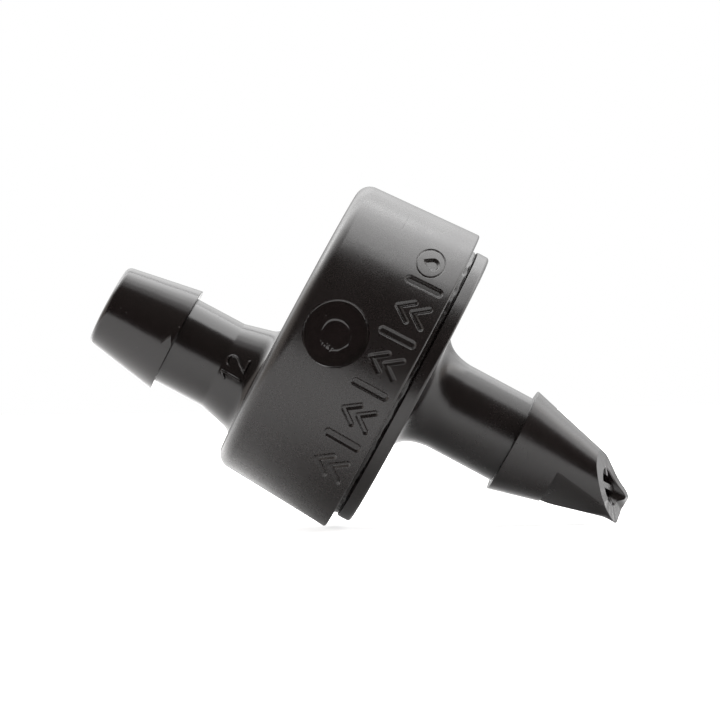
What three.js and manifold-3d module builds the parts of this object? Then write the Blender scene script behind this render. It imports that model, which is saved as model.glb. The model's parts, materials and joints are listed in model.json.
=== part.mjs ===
// Pressure-compensating drip emitter for thin irrigation tubing. Units are millimetres.
//
// The origin is the centre of the base flange's outer face. +Z is the axis of the cup and of the inlet
// barb, and points from the inlet to the outlet. The outlet barb stands off-centre, towards -X.
//
// Three pieces: the outlet cover, the inlet base that closes it, and the loose silicone diaphragm between.
// Under pressure the diaphragm lifts off the base's ribs and closes the labyrinth groove in the cover.

import * as THREE from 'three';
import { mergeVertices } from 'three/addons/utils/BufferGeometryUtils.js';
import Module from 'manifold-3d';

const wasm = await Module();
wasm.setup();

// ---------------------------------------------------------------- driving dimensions

// Barbs: both hold the same thin tubing, so the stem and the shoulder repeat.
const STEM_R = 2.24;
const SHOULDER_R = 2.68;

// Cup of the cover
const RIM_Z = 0.93;
const RIM_R = 8;
const RIM_EDGE_R = 0.08;
const CUP_TOP_Z = 7.17;
const CUP_DRAFT = THREE.MathUtils.degToRad(3.3);
const CUP_CORNER_R = 0.75;
const LAND_Z = 5.55;
const CUP_BORE_RIM_R = 7.15;
const CUP_BORE_LAND_R = 7.05;
const LEAD_IN_R = 7.45;
const LEAD_IN_Z = 1.3;

// Outlet barb
const OUTLET_X = -3.4;
const OUTLET_FOOT_R = 2.95;
const OUTLET_FLARE_R = 2.58;
const OUTLET_FLARE_Z = 7.66;
const OUTLET_STEM_Z = 8.99;
const OUTLET_SHOULDER_Z = 11.52;
const OUTLET_END_Z = 15.28;
const OUTLET_SLOPE = 0.172;
const OUTLET_EDGE_R = 0.3;
const OUTLET_BORE_R = 1.25;
const OUTLET_BORE_FLOOR_Z = 6.6;

// Flow path in the cover's inner face
const POCKET_R = 3.6;
const POCKET_DEPTH = 0.35;
const PORT_X = -2.6;
const PORT_R = 0.4;
const SEAT_R = 0.75;
const SEAT_BELOW_LAND = 0.07;
const NOTCH_WIDTH = 0.18;
const NOTCH_DEPTH = 0.12;
const GROOVE_DEPTH = 0.5;
const GROOVE_HALF_WIDTH = 0.22;
const ZIGZAG_INNER_R = 4.35;
const ZIGZAG_OUTER_R = 5.25;
const ZIGZAG_TURNS = 31;
const ZIGZAG_START = THREE.MathUtils.degToRad(25);
const ZIGZAG_SWEEP = THREE.MathUtils.degToRad(310);
const SLOT_WIDTH = 0.5;
const INTAKE_SLOT_R = 6.6;

// Flange of the base
const FLANGE_R = 7.23;
const FLANGE_EDGE_R = 0.16;
const FLANGE_TOP_Z = 0.66;

// Seam between the flange and the cover's rim: a narrow gap, with the bead that the weld squeezed out
const SEAM_R = 7.13;
const SEAM_Z = 0.71;
const BEAD_LOW_R = 7.16;
const BEAD_LOW_Z = 0.8;
const BEAD_HIGH_R = 7.22;
const BEAD_HIGH_Z = 0.97;

// Skirt and chamber of the base
const SKIRT_GAP = 0.05;
const SKIRT_INNER_R = 6.3;
const SKIRT_TOP_Z = 5.35;
const FLOOR_Z = 1;
const RIB_COUNT = 6;
const RIB_THICKNESS = 0.6;
const RIB_INNER_R = 1.6;
const RIB_OUTER_R = 5.2;
const RIB_TOP_Z = 4.3;

// Inlet barb, which points to -Z
const INLET_FOOT_R = 3.3;
const INLET_STEM_Z = -1.65;
const INLET_SHOULDER_Z = -5.13;
const INLET_SLOPE = 0.2565;
const NOSE_R = 1.21;
const CONE_END_Z = INLET_SHOULDER_Z - (SHOULDER_R - NOSE_R) / INLET_SLOPE;
const NOSE_END_Z = -11.6;
const INLET_BORE_R = 0.7;
const INLET_BORE_X = 0.2;
const TIP_CUT_TILT = THREE.MathUtils.degToRad(42);
const TIP_CUT_HEADING = THREE.MathUtils.degToRad(-34.7);
const TIP_CUT_AXIS_Z = -10.56;

// The two facets beside the tip's keel, and what stands in the inlet bore
const FACET_START_Z = -7.65;
const FACET_START_R = 1.53;
const FACET_HEADING = THREE.MathUtils.degToRad(39);
const CROSS_BAR_THICKNESS = 0.24;
const CROSS_BAR_TOP_Z = -7;
const STUB_THICKNESS = 0.2;
const STUB_INNER_R = 0.45;
const STUB_TOP_Z = -8.5;

// Diaphragm
const DIAPHRAGM_R = 6;
const DIAPHRAGM_BOTTOM_Z = 4.35;
const DIAPHRAGM_TOP_Z = 5.25;
const DIAPHRAGM_EDGE_R = 0.12;

// Fineness of the round surfaces, and how far a cutting tool runs past what it cuts
const CUP_SIDES = 72;
const BARB_SIDES = 48;
const BORE_SIDES = 32;
const PORT_SIDES = 20;
const CORNER_STEPS = 5;
const EDGE_STEPS = 2;
const FILLET_STEPS = 7;
const OVERRUN = 0.3;
const WELD = 1e-5;

// ---------------------------------------------------------------- materials

function blackPlastic(name, roughness) {
  return new THREE.MeshStandardMaterial({ name, color: 0x1d1c1d, roughness, metalness: 0 });
}

function silicone() {
  return new THREE.MeshStandardMaterial({ name: 'silicone', color: 0xb9ab92, roughness: 0.6, metalness: 0 });
}

// ---------------------------------------------------------------- solids

// A closed three.js geometry as a solid: shared vertices merged, collapsed triangles left out.
function toSolid(geometry) {
  const bare = geometry.clone();
  bare.deleteAttribute('normal');
  bare.deleteAttribute('uv');
  const merged = mergeVertices(bare, WELD);
  const corners = merged.index.array;
  const kept = [];
  for (let i = 0; i < corners.length; i += 3) {
    const [a, b, c] = [corners[i], corners[i + 1], corners[i + 2]];
    if (a !== b && b !== c && c !== a) {
      kept.push(a, b, c);
    }
  }
  return new wasm.Manifold(new wasm.Mesh({
    numProp: 3,
    vertProperties: new Float32Array(merged.attributes.position.array),
    triVerts: new Uint32Array(kept),
  }));
}

function toGeometry(solid) {
  const { vertProperties, triVerts } = solid.getMesh();
  const geometry = new THREE.BufferGeometry();
  geometry.setAttribute('position', new THREE.BufferAttribute(vertProperties, 3));
  geometry.setIndex(new THREE.BufferAttribute(triVerts, 1));
  geometry.computeVertexNormals();
  return geometry;
}

// A profile of (radius, height) points, turned round +Z. It runs anticlockwise.
function revolve(profile, sides, x = 0) {
  const geometry = new THREE.LatheGeometry(profile, sides);
  geometry.rotateX(Math.PI / 2);
  geometry.translate(x, 0, 0);
  return toSolid(geometry);
}

function cylinder(radius, bottom, top, sides, x = 0) {
  const geometry = new THREE.CylinderGeometry(radius, radius, top - bottom, sides);
  geometry.rotateX(Math.PI / 2);
  geometry.translate(x, 0, (bottom + top) / 2);
  return toSolid(geometry);
}

// A box between two corners, turned about +Z by an angle.
function block(low, high, turn = 0) {
  const size = new THREE.Vector3().subVectors(high, low);
  const geometry = new THREE.BoxGeometry(size.x, size.y, size.z);
  geometry.translate((low.x + high.x) / 2, (low.y + high.y) / 2, (low.z + high.z) / 2);
  geometry.rotateZ(turn);
  return toSolid(geometry);
}

// A bar that runs outwards from the axis at an angle, between two radii and two heights.
function radialBar(innerR, outerR, thickness, bottom, top, turn) {
  const low = new THREE.Vector3(innerR, -thickness / 2, bottom);
  const high = new THREE.Vector3(outerR, thickness / 2, top);
  return block(low, high, turn);
}

// ---------------------------------------------------------------- profiles

function point(radius, height) {
  return new THREE.Vector2(radius, height);
}

function arc(centreR, centreZ, radius, startDegrees, endDegrees, steps) {
  const start = THREE.MathUtils.degToRad(startDegrees);
  const end = THREE.MathUtils.degToRad(endDegrees);
  return new THREE.EllipseCurve(centreR, centreZ, radius, radius, start, end, end < start).getPoints(steps);
}

// The concave curve where a barb's foot runs into the face that it stands on.
function fillet(from, towards, to) {
  return new THREE.QuadraticBezierCurve(from, towards, to).getPoints(FILLET_STEPS);
}

function cupRadius(z) {
  return RIM_R - (z - RIM_Z) * Math.tan(CUP_DRAFT);
}

function cupBoreRadius(z) {
  const along = (z - LEAD_IN_Z) / (LAND_Z - LEAD_IN_Z);
  return THREE.MathUtils.lerp(CUP_BORE_RIM_R, CUP_BORE_LAND_R, along);
}

function cupProfile() {
  const cornerZ = CUP_TOP_Z - CUP_CORNER_R;
  return [
    point(0, LAND_Z),
    point(CUP_BORE_LAND_R, LAND_Z),
    point(CUP_BORE_RIM_R, LEAD_IN_Z),
    point(LEAD_IN_R, RIM_Z),
    ...arc(RIM_R - RIM_EDGE_R, RIM_Z + RIM_EDGE_R, RIM_EDGE_R, -90, 0, EDGE_STEPS),
    ...arc(cupRadius(cornerZ) - CUP_CORNER_R, cornerZ, CUP_CORNER_R, 0, 90, CORNER_STEPS),
    point(0, CUP_TOP_Z),
  ];
}

function outletProfile() {
  const endR = SHOULDER_R - (OUTLET_END_Z - OUTLET_SHOULDER_Z) * OUTLET_SLOPE;
  const rootZ = CUP_TOP_Z - OVERRUN;
  const foot = point(OUTLET_FOOT_R, CUP_TOP_Z);
  const flare = point(OUTLET_FLARE_R, OUTLET_FLARE_Z);
  const bend = point(THREE.MathUtils.lerp(OUTLET_FLARE_R, OUTLET_FOOT_R, 0.2), CUP_TOP_Z + OUTLET_EDGE_R / 2);
  return [
    point(0, rootZ),
    point(OUTLET_FOOT_R, rootZ),
    ...fillet(foot, bend, flare),
    point(STEM_R, OUTLET_STEM_Z),
    point(STEM_R, OUTLET_SHOULDER_Z),
    point(SHOULDER_R, OUTLET_SHOULDER_Z),
    ...arc(endR - OUTLET_EDGE_R, OUTLET_END_Z - OUTLET_EDGE_R, OUTLET_EDGE_R, 0, 90, CORNER_STEPS),
    point(0, OUTLET_END_Z),
  ];
}

// The base's outline, before the inlet is bored.
function baseProfile() {
  const skirtR = (z) => cupBoreRadius(z) - SKIRT_GAP;
  const foot = point(INLET_FOOT_R, 0);
  const stem = point(STEM_R, INLET_STEM_Z);
  const bend = point(STEM_R + OVERRUN / 3, INLET_STEM_Z * 0.15);
  return [
    point(0, NOSE_END_Z),
    point(NOSE_R, NOSE_END_Z),
    point(NOSE_R, CONE_END_Z),
    point(SHOULDER_R, INLET_SHOULDER_Z),
    point(STEM_R, INLET_SHOULDER_Z),
    ...fillet(stem, bend, foot),
    ...arc(FLANGE_R - FLANGE_EDGE_R, FLANGE_EDGE_R, FLANGE_EDGE_R, -90, 0, EDGE_STEPS),
    point(FLANGE_R, FLANGE_TOP_Z),
    point(SEAM_R, SEAM_Z),
    point(BEAD_LOW_R, BEAD_LOW_Z),
    point(BEAD_HIGH_R, BEAD_HIGH_Z),
    point(skirtR(LEAD_IN_Z), LEAD_IN_Z),
    point(skirtR(SKIRT_TOP_Z), SKIRT_TOP_Z),
    point(SKIRT_INNER_R, SKIRT_TOP_Z),
    point(SKIRT_INNER_R, FLOOR_Z),
    point(0, FLOOR_Z),
  ];
}

function diaphragmProfile() {
  const edgeR = DIAPHRAGM_R - DIAPHRAGM_EDGE_R;
  return [
    point(0, DIAPHRAGM_BOTTOM_Z),
    ...arc(edgeR, DIAPHRAGM_BOTTOM_Z + DIAPHRAGM_EDGE_R, DIAPHRAGM_EDGE_R, -90, 0, EDGE_STEPS),
    ...arc(edgeR, DIAPHRAGM_TOP_Z - DIAPHRAGM_EDGE_R, DIAPHRAGM_EDGE_R, 0, 90, EDGE_STEPS),
    point(0, DIAPHRAGM_TOP_Z),
  ];
}

// ---------------------------------------------------------------- the flow path in the cover

// The toothed groove: a zigzag between two radii, of even width along the radius.
function zigzagGroove() {
  const outer = [];
  const inner = [];
  for (let i = 0; i < ZIGZAG_TURNS; i += 1) {
    const angle = ZIGZAG_START + ZIGZAG_SWEEP * i / (ZIGZAG_TURNS - 1);
    const middle = i % 2 === 0 ? ZIGZAG_OUTER_R : ZIGZAG_INNER_R;
    const direction = point(Math.cos(angle), Math.sin(angle));
    outer.push(direction.clone().multiplyScalar(middle + GROOVE_HALF_WIDTH));
    inner.unshift(direction.clone().multiplyScalar(middle - GROOVE_HALF_WIDTH));
  }
  const outline = new THREE.Shape([...outer, ...inner]);
  const depth = GROOVE_DEPTH + OVERRUN;
  const geometry = new THREE.ExtrudeGeometry(outline, { depth, bevelEnabled: false });
  geometry.translate(0, 0, LAND_Z - OVERRUN);
  return toSolid(geometry);
}

// The groove takes water in past the diaphragm's edge and lets it out into the pocket.
function labyrinth() {
  const bottom = LAND_Z - OVERRUN;
  const top = LAND_Z + GROOVE_DEPTH;
  const end = ZIGZAG_START + ZIGZAG_SWEEP;
  const intake = radialBar(ZIGZAG_OUTER_R, INTAKE_SLOT_R, SLOT_WIDTH, bottom, top, ZIGZAG_START);
  const pocketSlot = radialBar(POCKET_R - OVERRUN, ZIGZAG_OUTER_R, SLOT_WIDTH, bottom, top, end);
  return zigzagGroove().add(intake).add(pocketSlot);
}

// The shallow pocket, less the ring that the diaphragm closes on, with the ring's metering notch.
function regulatingPocket() {
  const floor = LAND_Z + POCKET_DEPTH;
  const seatZ = LAND_Z + SEAT_BELOW_LAND;
  const pocket = cylinder(POCKET_R, LAND_Z - OVERRUN, floor, BARB_SIDES);
  const seat = cylinder(SEAT_R, seatZ, floor + OVERRUN, PORT_SIDES, PORT_X);
  const notchLow = new THREE.Vector3(PORT_X, -NOTCH_WIDTH / 2, seatZ - OVERRUN);
  const notchHigh = new THREE.Vector3(PORT_X + SEAT_R + OVERRUN, NOTCH_WIDTH / 2, seatZ + NOTCH_DEPTH);
  return pocket.subtract(seat.subtract(block(notchLow, notchHigh)));
}

// ---------------------------------------------------------------- the pieces

function outletCover() {
  const bore = cylinder(OUTLET_BORE_R, OUTLET_BORE_FLOOR_Z, OUTLET_END_Z + OVERRUN, BORE_SIDES, OUTLET_X);
  const port = cylinder(PORT_R, LAND_Z - OVERRUN, OUTLET_BORE_FLOOR_Z + OVERRUN, PORT_SIDES, PORT_X);
  return revolve(cupProfile(), CUP_SIDES)
    .add(revolve(outletProfile(), BARB_SIDES, OUTLET_X))
    .subtract(bore)
    .subtract(regulatingPocket())
    .subtract(port)
    .subtract(labyrinth());
}

// Everything past the slanted plane that sharpens the inlet's tip. The plane crosses the axis at
// TIP_CUT_AXIS_Z, and leans by TIP_CUT_TILT towards TIP_CUT_HEADING.
function tipCut() {
  const size = 4 * SHOULDER_R;
  const geometry = new THREE.BoxGeometry(size, size, size);
  geometry.translate(0, 0, -size / 2);
  geometry.rotateY(-TIP_CUT_TILT);
  geometry.rotateZ(TIP_CUT_HEADING);
  geometry.translate(0, 0, TIP_CUT_AXIS_Z);
  return toSolid(geometry);
}

// What is cut off one side of the tip, so that two flat facets meet in a keel along -X. Each facet starts
// at a square step and runs into the round nose where the cone ends.
function facetCut(heading) {
  const size = 4 * SHOULDER_R;
  const lean = Math.atan((FACET_START_R - NOSE_R) / (FACET_START_Z - CONE_END_Z));
  const geometry = new THREE.BoxGeometry(size, size, size);
  geometry.translate(size / 2, 0, 0);
  geometry.rotateY(lean);
  geometry.translate(FACET_START_R, 0, FACET_START_Z);
  geometry.rotateZ(heading);
  const pastStep = cylinder(size, FACET_START_Z - size, FACET_START_Z, PORT_SIDES);
  return toSolid(geometry).intersect(pastStep);
}

// The bar across the bore, and a short stub on each side of it, which keep grit out. The bore is nearer +X
// than the barb's axis, so the wall is thickest at the keel.
function inletStrainer() {
  const reach = INLET_BORE_R + (NOSE_R - INLET_BORE_R - INLET_BORE_X) / 2;
  const barLow = new THREE.Vector3(-CROSS_BAR_THICKNESS / 2, -reach, NOSE_END_Z);
  const barHigh = new THREE.Vector3(CROSS_BAR_THICKNESS / 2, reach, CROSS_BAR_TOP_Z);
  const stub = (turn) => radialBar(STUB_INNER_R, reach, STUB_THICKNESS, NOSE_END_Z, STUB_TOP_Z, turn);
  return block(barLow, barHigh).add(stub(0)).add(stub(Math.PI)).translate([INLET_BORE_X, 0, 0]);
}

function inletBase() {
  const boreLow = NOSE_END_Z - OVERRUN;
  const bore = cylinder(INLET_BORE_R, boreLow, FLOOR_Z + OVERRUN, BORE_SIDES, INLET_BORE_X);
  let base = revolve(baseProfile(), CUP_SIDES).subtract(bore);
  for (let i = 0; i < RIB_COUNT; i += 1) {
    const turn = 2 * Math.PI * i / RIB_COUNT;
    const foot = FLOOR_Z - OVERRUN;
    base = base.add(radialBar(RIB_INNER_R, RIB_OUTER_R, RIB_THICKNESS, foot, RIB_TOP_Z, turn));
  }
  return base
    .add(inletStrainer())
    .subtract(tipCut())
    .subtract(facetCut(Math.PI + FACET_HEADING))
    .subtract(facetCut(Math.PI - FACET_HEADING));
}

function diaphragm() {
  return revolve(diaphragmProfile(), CUP_SIDES);
}

// ---------------------------------------------------------------- the assembly

function piece(name, solid, material) {
  const mesh = new THREE.Mesh(toGeometry(solid), material);
  mesh.name = name;
  return mesh;
}

const emitter = new THREE.Group();
emitter.add(
  piece('outlet_cover', outletCover(), blackPlastic('black plastic, satin', 0.42)),
  piece('inlet_base', inletBase(), blackPlastic('black plastic, polished', 0.34)),
  piece('diaphragm', diaphragm(), silicone()),
);

export default emitter;
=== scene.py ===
"""Looks of a pressure-compensating drip emitter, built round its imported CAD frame.

Lengths are in millimetres until a piece is finished, when its mesh is scaled to metres. The frame is the
CAD's: origin at the centre of the flange's outer face, +Z from the inlet to the outlet, and the side with
the marks faces -Y. A place on a round wall is (across, height): across is how far it lies towards +X from
the middle of the wall as seen from -Y, and height is Z.
"""

import json
import math

import bpy
import numpy as np
from mathutils import Matrix, Vector, noise


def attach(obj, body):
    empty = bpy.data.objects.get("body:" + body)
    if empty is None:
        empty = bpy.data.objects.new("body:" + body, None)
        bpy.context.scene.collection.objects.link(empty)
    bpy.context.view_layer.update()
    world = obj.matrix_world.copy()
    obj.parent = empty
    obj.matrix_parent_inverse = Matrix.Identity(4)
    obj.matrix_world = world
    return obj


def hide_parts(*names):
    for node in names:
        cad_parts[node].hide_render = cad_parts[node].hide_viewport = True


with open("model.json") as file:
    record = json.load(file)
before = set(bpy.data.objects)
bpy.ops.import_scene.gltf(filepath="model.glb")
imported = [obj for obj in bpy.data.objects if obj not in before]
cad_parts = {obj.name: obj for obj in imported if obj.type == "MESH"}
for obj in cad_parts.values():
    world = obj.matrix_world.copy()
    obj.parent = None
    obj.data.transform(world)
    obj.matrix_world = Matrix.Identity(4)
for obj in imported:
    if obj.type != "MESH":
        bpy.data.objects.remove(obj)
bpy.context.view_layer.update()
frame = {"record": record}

MM = 0.001

# ---------------------------------------------------------------- dimensions

STEM_R = 2.24
SHOULDER_R = 2.68
SHOULDER_EDGE_R = 0.03
EDGE_R = 0.1

RIM_Z = 0.93
RIM_R = 8
CUP_TOP_Z = 7.17
CUP_DRAFT = math.radians(3.3)
CUP_CORNER_R = 0.75
LAND_Z = 5.55
LAND_CORNER_R = 0.12
CUP_BORE_RIM_R = 7.15
CUP_BORE_LAND_R = 7.05
LEAD_IN_R = 7.45
LEAD_IN_Z = 1.3
LEAD_IN_EDGE_R = 0.04

OUTLET_X = -3.4
OUTLET_FOOT_R = 2.95
OUTLET_FLARE_R = 2.58
OUTLET_FLARE_Z = 7.66
OUTLET_BEND_SHARE = 0.2
OUTLET_BEND_RISE = 0.15
OUTLET_STEM_Z = 8.99
OUTLET_SHOULDER_Z = 11.52
OUTLET_END_Z = 15.28
OUTLET_SLOPE = 0.172
OUTLET_EDGE_R = 0.3
OUTLET_BORE_R = 1.25
OUTLET_BORE_FLOOR_Z = 6.6
OUTLET_CHAMFER = 0.08

POCKET_R = 3.6
POCKET_DEPTH = 0.35
PORT_X = -2.6
PORT_R = 0.4
SEAT_R = 0.75
SEAT_BELOW_LAND = 0.07
NOTCH_WIDTH = 0.18
NOTCH_DEPTH = 0.12
GROOVE_DEPTH = 0.5
GROOVE_HALF_WIDTH = 0.22
ZIGZAG_INNER_R = 4.35
ZIGZAG_OUTER_R = 5.25
ZIGZAG_TURNS = 31
ZIGZAG_START = math.radians(25)
ZIGZAG_SWEEP = math.radians(310)
SLOT_WIDTH = 0.5
INTAKE_SLOT_R = 6.6

FLANGE_R = 7.23
FLANGE_EDGE_R = 0.16
FLANGE_TOP_Z = 0.66
SEAM_R = 7.1
SEAM_Z = 0.71
BEAD_LOW_R = 7.13
BEAD_LOW_Z = 0.78
BEAD_HIGH_R = 7.13
BEAD_HIGH_Z = 0.97
BEAD_EDGE_R = 0.03
SKIRT_GAP = 0.05
SKIRT_INNER_R = 6.3
SKIRT_TOP_Z = 5.35
FLOOR_Z = 1
FLOOR_CORNER_R = 0.15
RIB_COUNT = 6
RIB_THICKNESS = 0.6
RIB_INNER_R = 1.6
RIB_OUTER_R = 5.2
RIB_TOP_Z = 4.3

INLET_FOOT_R = 3.3
INLET_BEND_OUT = 0.1
INLET_BEND_SHARE = 0.15
INLET_STEM_Z = -1.65
INLET_SHOULDER_Z = -5.13
INLET_SLOPE = 0.2565
NOSE_R = 1.21
CONE_END_Z = INLET_SHOULDER_Z - (SHOULDER_R - NOSE_R) / INLET_SLOPE
NOSE_END_Z = -11.6
INLET_BORE_R = 0.7
INLET_BORE_X = 0.2
INLET_BORE_MOUTH_R = 0.08
TIP_CUT_TILT = math.radians(42)
TIP_CUT_HEADING = math.radians(-34.7)
TIP_CUT_AXIS_Z = -10.56
FACET_START_Z = -7.65
FACET_START_R = 1.53
FACET_STEP = 0.02
FACET_HEADING = math.radians(39)
CROSS_BAR_THICKNESS = 0.24
CROSS_BAR_TOP_Z = -7
STUB_THICKNESS = 0.2
STUB_INNER_R = 0.45
STUB_TOP_Z = -8.5
STRAINER_INSIDE_CUT = 0.06

DIAPHRAGM_R = 6
DIAPHRAGM_BOTTOM_Z = 4.35
DIAPHRAGM_TOP_Z = 5.25
DIAPHRAGM_EDGE_R = 0.12

# The inlet's tip as it was torn off the mould, with a tab on the far side
TAB_LENGTH = 0.57
TAB_TURN = math.radians(78)
TAB_SPREAD = math.radians(26)
TIP_ROUGHNESS = 0.03
TIP_ROUGH_SCALE = 3.5
TIP_CLEARANCE = 0.02
TIP_BORE_EDGE_R = 0.07
TIP_EDGE_R = 0.04
FACET_CROWN = 0.07
FACET_BLEND = 0.012
LEAST_FACING = 0.05

# The weld bead's ragged edge: how far it wanders and stands up, and its noise scales
BEAD_COARSE = 0.05
BEAD_COARSE_SCALE = 9
BEAD_FINE = 0.035
BEAD_FINE_SCALE = 31
BEAD_LIFT = 0.03

# Marks on the cup's wall. The mould's side pulls straight out, so they are flat to -Y.
MARK_R = 7.8
MARK_STEP = 0.026
MARK_WALL = 0.14
MARK_CLEARANCE = 0.012
MARK_STEEPNESS = 2.0

GATE_X = 0.49
GATE_HEIGHT = 4.85
GATE_R = 1.62
GATE_SQUASH = 0.95
GATE_DEPTH = 0.22
GATE_WALL = 0.06
GATE_RING_R = 0.73
GATE_RING_WIDTH = 0.06
GATE_RING_RISE = 0.03
GATE_RING_WANDER = 0.03
GATE_WANDER_SCALE = 2.6
GATE_KEPT = 0.7
GATE_KEPT_SWING = 0.3
GATE_KEPT_TURN = 0.6
GATE_KEPT_WANDER = 0.5
GATE_KEPT_LEAST = 0.4
GATE_TORN_X = -0.7
GATE_TORN_Y = -0.02
GATE_TORN_WIDTH = 0.14
GATE_TORN_HEIGHT = 0.3
GATE_TORN_RISE = 0.1
GATE_TORN_SHARE = 0.15
GATE_TORN_SCALE = 9

BAND_LOW = 1.5
BAND_HIGH = 3.0
BAND_START = -5.0
BAND_PITCH = 1.33
BAND_SLOTS = 8
BAND_STROKE = 0.17
BAND_BAR_STROKE = 1.4 * BAND_STROKE
BAND_DEPTH = 0.1
CHEVRON_HALF_WIDTH = 0.36 * BAND_PITCH

BADGE_X = 5.42
BADGE_HEIGHT = 2.47
BADGE_R = 0.67
BADGE_STROKE = 0.06
DROP_R = 0.32
DROP_BELOW = 0.14
DROP_LENGTH = 0.55
DROP_TAPER = 0.8
DROP_TIP = 0.97

TICK_HEIGHT = 4.39
TICK_START = 6.34
TICK_END = 7.2
TICK_STROKE = 0.05
TICK_DEPTH = 0.035

# The raised cavity number, 12, on the outlet's flared foot
NUMBER_X = 0.1
NUMBER_LOW = 7.86
NUMBER_TALL = 1.0
NUMBER_STROKE = 0.075
NUMBER_RISE = 0.08
NUMBER_WALL = 0.06
ONE_X = -0.32
ONE_FLAG_X = -0.56
ONE_FLAG_SHARE = 0.72
TWO_X = 0.31
TWO_BOW_R = 0.24
TWO_BOW_START = 0.1 * math.pi
TWO_BOW_END = 1.2 * math.pi
TWO_FOOT_START = 0.06
TWO_FOOT_END = 0.58

# The scrap of flash on the outlet's shoulder, a triangle that points towards +X
FLASH_POINT_X = 0.24
FLASH_MIDDLE = 0.24
FLASH_SLOPE = 0.42
FLASH_RISE = 0.006
FLASH_TRIM_TURN = math.radians(11)

# The stretch of wall that each relief covers: from and to across it, then from and to in height
NUMBER_STRETCH = ((-0.8, 0.9), (7.72, 8.97))
FLASH_STRETCH = ((-0.47, 0.3), (OUTLET_SHOULDER_Z + 0.01, OUTLET_SHOULDER_Z + 0.63))
BAND_STRETCH = ((-5.8, 6.6), (1.2, 3.3))
GATE_STRETCH = ((GATE_X - 1.8, GATE_X + 1.8), (3.16, 6.5))
TICK_STRETCH = ((6.2, 7.3), (4.25, 4.53))

# Fineness. A run is the longest step along a straight stretch of an outline.
CUP_SIDES = 360
BARB_SIDES = 240
DISC_SIDES = 180
BORE_SIDES = 96
ARC_STEPS = 5
CORNER_STEPS = 14
OUTLET_BEND_STEPS = 12
INLET_BEND_STEPS = 16
CONE_STEPS = 25
TIP_PASSES = 20
DROP_CIRCLES = 14
TWO_BOW_POINTS = 9
BROAD_RUN = 0.6
NARROW_RUN = 0.5

# Tools that cut or join reach OVERRUN past the face they work on. NUDGE keeps two such faces apart.
OVERRUN = 0.3
NUDGE = 0.01


# ---------------------------------------------------------------- outlines

def unit(vectors):
    return vectors / np.maximum(np.linalg.norm(vectors, axis=0), 1e-9)


def arc_rows(before, here, after, rounding, steps):
    """The corner at here, turned into an arc of that radius."""
    back = unit(before - here)
    on = unit(after - here)
    half = np.arccos(np.clip((back * on).sum(0), -1, 1)) / 2
    centre = here + unit(back + on) * rounding / np.sin(half)
    reach = rounding / np.tan(half)
    start = here + back * reach - centre
    end = here + on * reach - centre
    sweep = np.maximum(math.pi - 2 * half, 1e-4)
    share = np.linspace(0, 1, steps + 1)
    return [
        centre + (start * np.sin((1 - t) * sweep) + end * np.sin(t * sweep)) / np.sin(sweep)
        for t in share
    ]


def outline(corners, spacing, closed=False):
    """Rows of (radius, height) along the corners, each of which is (radius, height, rounding). A radius or
    height may hold one value per column. Straight runs are split into steps of at most spacing."""
    columns = max(np.size(value) for corner in corners for value in corner[:2])
    places = [
        np.array([np.broadcast_to(r, columns), np.broadcast_to(z, columns)], float)
        for r, z, _ in corners
    ]
    rows = []
    for i, (_, _, rounding) in enumerate(corners):
        if rounding == 0:
            rows.append(places[i])
            continue
        steps = CORNER_STEPS if rounding >= CUP_CORNER_R else ARC_STEPS
        rows += arc_rows(places[i - 1], places[i], places[(i + 1) % len(corners)], rounding, steps)
    filled = []
    ends = rows[1:] + rows[:1] if closed else rows[1:]
    for start, end in zip(rows, ends):
        length = np.linalg.norm(end - start, axis=0).max()
        count = max(1, math.ceil(length / spacing))
        filled += [start + (end - start) * k / count for k in range(count)]
    if not closed:
        filled.append(rows[-1])
    return np.array(filled)


def bezier(start, bend, end, steps):
    """Corners along a quadratic curve, without its two ends."""
    start, bend, end = (np.array(place) for place in (start, bend, end))
    share = np.linspace(0, 1, steps + 1)[1:-1]
    places = [(1 - t) ** 2 * start + 2 * t * (1 - t) * bend + t * t * end for t in share]
    return [(*place, 0) for place in places]


def turns(sides):
    return np.arange(sides) * 2 * math.pi / sides


# ---------------------------------------------------------------- meshes

def add_mesh(name, points, faces):
    mesh = bpy.data.meshes.new(name)
    mesh.from_pydata(points, [], faces)
    mesh.validate()
    made = bpy.data.objects.new(name, mesh)
    bpy.context.scene.collection.objects.link(made)
    return made


def lathe(name, rows, angles, centre_x=0.0, closed=False):
    """The rows turned round the axis at centre_x. They start and end on it, or close on themselves."""
    radius, height, turn = np.broadcast_arrays(rows[:, 0, :], rows[:, 1, :], angles[None, :])
    points = np.stack([centre_x + radius * np.cos(turn), radius * np.sin(turn), height], axis=-1)
    count, columns = radius.shape
    index = np.arange(count * columns).reshape(count, columns)
    if not closed:
        index[0, :] = index[0, 0]
        index[-1, :] = index[-1, 0]
    faces = []
    for i in range(count if closed else count - 1):
        low, high = index[i], index[(i + 1) % count]
        for j in range(columns):
            k = (j + 1) % columns
            ring = (low[j], low[k], high[k], high[j])
            faces.append([int(v) for n, v in enumerate(ring) if v != ring[n - 1]])
    used = np.unique(index)
    renumber = {int(old): new for new, old in enumerate(used)}
    faces = [[renumber[v] for v in face] for face in faces]
    return add_mesh(name, points.reshape(-1, 3)[used].tolist(), faces)


def grid_faces(low, high):
    """Quads between two matching lists of vertex numbers."""
    return [(low[i], low[i + 1], high[i + 1], high[i]) for i in range(len(low) - 1)]


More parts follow.
